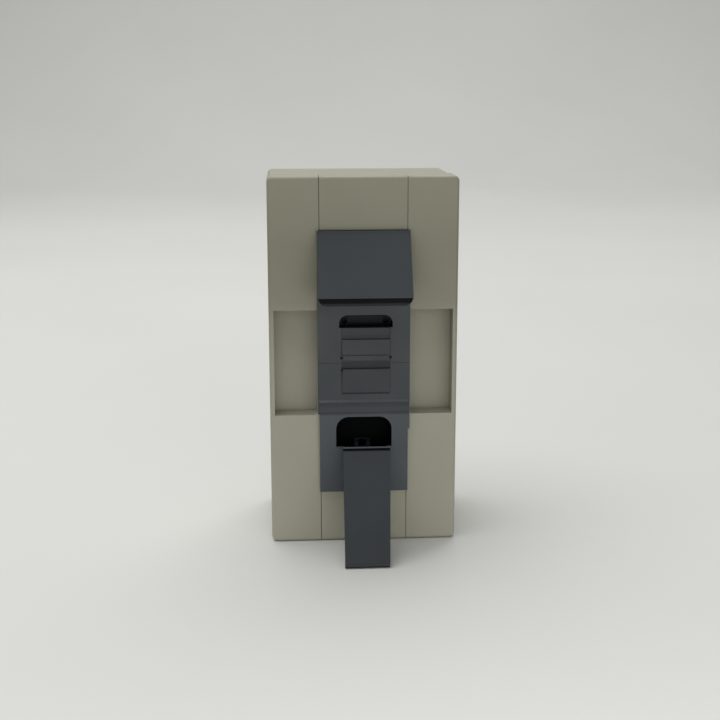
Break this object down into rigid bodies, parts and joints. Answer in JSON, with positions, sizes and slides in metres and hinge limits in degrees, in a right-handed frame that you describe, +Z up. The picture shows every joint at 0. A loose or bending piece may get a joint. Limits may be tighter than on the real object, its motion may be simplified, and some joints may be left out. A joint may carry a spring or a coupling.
{
  "type": "fused disconnect switch",
  "caption": "Upright box-shaped fused disconnect switch with a top-hinged front, a wedge-shaped finger hood, side finger recesses and a leaning operating lever.",
  "frame": {"origin": "centre of the flat rear mounting face", "axes": "+X to the right of the switch seen from its front, +Y out of its back into the mounting plate, +Z up along its height"},
  "size_m": [0.089, 0.1036, 0.176],
  "materials": {
    "case_plastic": "fine moulded texture, pebble grey",
    "dark_plastic": "satin moulded, anthracite",
    "natural_plastic": "satin",
    "plated_copper": "silver-plated copper",
    "ceramic": "unglazed steatite",
    "fibre": "vulcanised fibre",
    "spring_steel": "stainless spring strip",
    "zinc_steel": "zinc-plated steel"
  },
  "bodies": {
    "base": {"base_housing": "case_plastic", "jaw_line_left": "plated_copper", "jaw_load_left": "plated_copper", "jaw_line_centre": "plated_copper", "jaw_load_centre": "plated_copper", "jaw_line_right": "plated_copper", "jaw_load_right": "plated_copper", "jaw_springs_line": "spring_steel", "jaw_rivets_line": "zinc_steel", "terminal_bolts_line": "zinc_steel", "terminal_washers_line": "zinc_steel", "terminal_nuts_line": "zinc_steel", "strap_screws_line": "zinc_steel", "jaw_springs_load": "spring_steel", "jaw_rivets_load": "zinc_steel", "terminal_bolts_load": "zinc_steel", "terminal_washers_load": "zinc_steel", "terminal_nuts_load": "zinc_steel", "strap_screws_load": "zinc_steel", "arc_chute_left": "fibre", "arc_plates_left": "zinc_steel", "arc_chute_centre": "fibre", "arc_plates_centre": "zinc_steel", "arc_chute_right": "fibre", "arc_plates_right": "zinc_steel", "latch_keeper": "zinc_steel"},
    "lid": {"lid_shell": "case_plastic", "top_centre_cover": "case_plastic", "bottom_centre_cover": "case_plastic", "handle_body": "dark_plastic", "centre_insert": "dark_plastic", "fuse_body_left": "ceramic", "fuse_contact_line_left": "plated_copper", "fuse_contact_load_left": "plated_copper", "fuse_clip_left": "spring_steel", "fuse_body_centre": "ceramic", "fuse_contact_line_centre": "plated_copper", "fuse_contact_load_centre": "plated_copper", "fuse_clip_centre": "spring_steel", "fuse_body_right": "ceramic", "fuse_contact_line_right": "plated_copper", "fuse_contact_load_right": "plated_copper", "fuse_clip_right": "spring_steel", "clip_rivets": "zinc_steel", "handle_screws": "zinc_steel", "lid_hinge_pins": "zinc_steel", "latch_guide": "natural_plastic", "guide_screws": "zinc_steel", "lever_axle": "zinc_steel", "lever_springs": "spring_steel"},
    "lever": {"lever": "dark_plastic", "crank_roller": "zinc_steel"},
    "latch": {"latch_slide": "dark_plastic", "latch_hook": "zinc_steel", "hook_rivets": "zinc_steel"}
  },
  "joints": [
    {"name": "lid_hinge", "type": "hinge", "parent": "base", "child": "lid", "pos_m": [0, -0.0464, 0.0822], "axis": [-1, 0, 0], "range_deg": [0, 92]},
    {"name": "lever_pivot", "type": "hinge", "parent": "lid", "child": "lever", "pos_m": [0, -0.0645, -0.046], "axis": [-1, 0, 0], "range_deg": [-25, 40], "stiffness_Nm_per_rad": 0.05},
    {"name": "latch_travel", "type": "slide", "parent": "lid", "child": "latch", "axis": [0, 0, 1], "range_m": [-0.0085, 0.0054]}
  ],
  "couplings": [
    {"joint": "latch_travel", "follows": "lever_pivot", "m_per_rad": -0.012}
  ]
}
